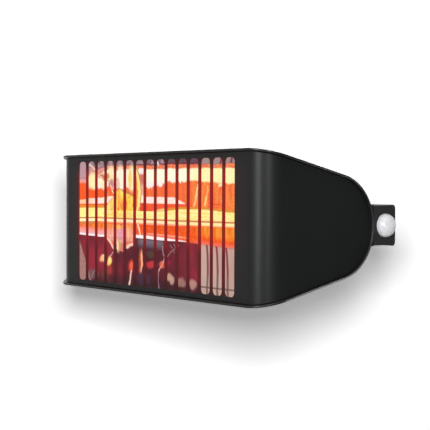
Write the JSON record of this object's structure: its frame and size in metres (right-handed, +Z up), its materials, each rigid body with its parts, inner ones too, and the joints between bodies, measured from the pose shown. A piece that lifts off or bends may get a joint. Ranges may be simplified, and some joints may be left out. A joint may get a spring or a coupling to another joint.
{
  "type": "infrared patio heater",
  "caption": "Wall-mounted infrared heater head with a slotted front, bright trough reflector and quartz lamp, tilting on a wall rail that holds a motion sensor.",
  "frame": {"origin": "middle of the wall plate's back face, on the wall", "axes": "+X along the heater towards the sensor, +Y out of the back into the wall, +Z up; the front faces -Y"},
  "size_m": [0.414, 0.2134, 0.165],
  "materials": {
    "powder_coat": "matt black powder coat",
    "mirror_sheet": "bright rolled mirror sheet",
    "bare_steel": "zinc plated",
    "quartz": "clear quartz with a gold tint",
    "filament": "glowing carbon ribbon",
    "steatite": "unglazed",
    "rail_plastic": "fine matt texture",
    "lens_plastic": "milky, translucent",
    "black_rubber": "matt",
    "circuit_board": "lacquered",
    "terminal_plastic": "moulded",
    "relay_plastic": "moulded",
    "cable_sheath": "silicone sheath"
  },
  "bodies": {
    "wall_rail": {"wall_plate": "bare_steel", "rail_body": "rail_plastic", "end_cap_left": "rail_plastic", "end_cap_right": "rail_plastic", "hinge_plate": "powder_coat", "pivot_bolt_left": "bare_steel", "pivot_nut_left": "bare_steel", "pivot_bolt_right": "bare_steel", "pivot_nut_right": "bare_steel", "friction_washer_1": "black_rubber", "friction_washer_2": "black_rubber", "friction_washer_3": "black_rubber", "friction_washer_4": "black_rubber", "plate_grommet": "black_rubber", "sensor_lens": "lens_plastic", "sensor_holder": "rail_plastic", "sensor_board": "circuit_board", "motion_sensor": "bare_steel", "control_board": "circuit_board", "board_terminal": "terminal_plastic", "power_relay": "relay_plastic", "mains_terminal": "steatite", "mains_cable": "cable_sheath", "switched_cable": "cable_sheath", "sensor_lead": "cable_sheath", "hinge_cable": "cable_sheath", "cable_gland": "rail_plastic", "plate_screw_1": "bare_steel", "plate_screw_2": "bare_steel", "plate_screw_3": "bare_steel", "plate_screw_4": "bare_steel", "rail_screw_1": "bare_steel", "rail_screw_2": "bare_steel"},
    "heater_head": {"wrap_shell": "powder_coat", "front_shell": "powder_coat", "side_frame_left": "bare_steel", "side_frame_right": "bare_steel", "reflector": "mirror_sheet", "reflector_end_left": "mirror_sheet", "reflector_end_right": "mirror_sheet", "heat_shield": "bare_steel", "lamp_tube": "quartz", "lamp_filament": "filament", "lamp_cap_left": "steatite", "lamp_cap_right": "steatite", "lamp_clip_left": "bare_steel", "lamp_clip_right": "bare_steel", "terminal_block": "steatite", "lamp_lead_left": "cable_sheath", "lamp_lead_right": "cable_sheath", "head_cable": "cable_sheath", "tail_grommet": "black_rubber", "shell_screw_left": "bare_steel", "shell_screw_right": "bare_steel", "hinge_saddle_left": "powder_coat", "hinge_saddle_right": "powder_coat", "saddle_screw_1": "bare_steel", "saddle_screw_2": "bare_steel", "saddle_screw_3": "bare_steel", "saddle_screw_4": "bare_steel"}
  },
  "joints": [
    {"name": "head_tilt", "type": "hinge", "parent": "wall_rail", "child": "heater_head", "pos_m": [0, -0.0465, 0], "axis": [1, 0, 0], "range_deg": [-10, 45], "deforming": ["hinge_cable"]}
  ]
}
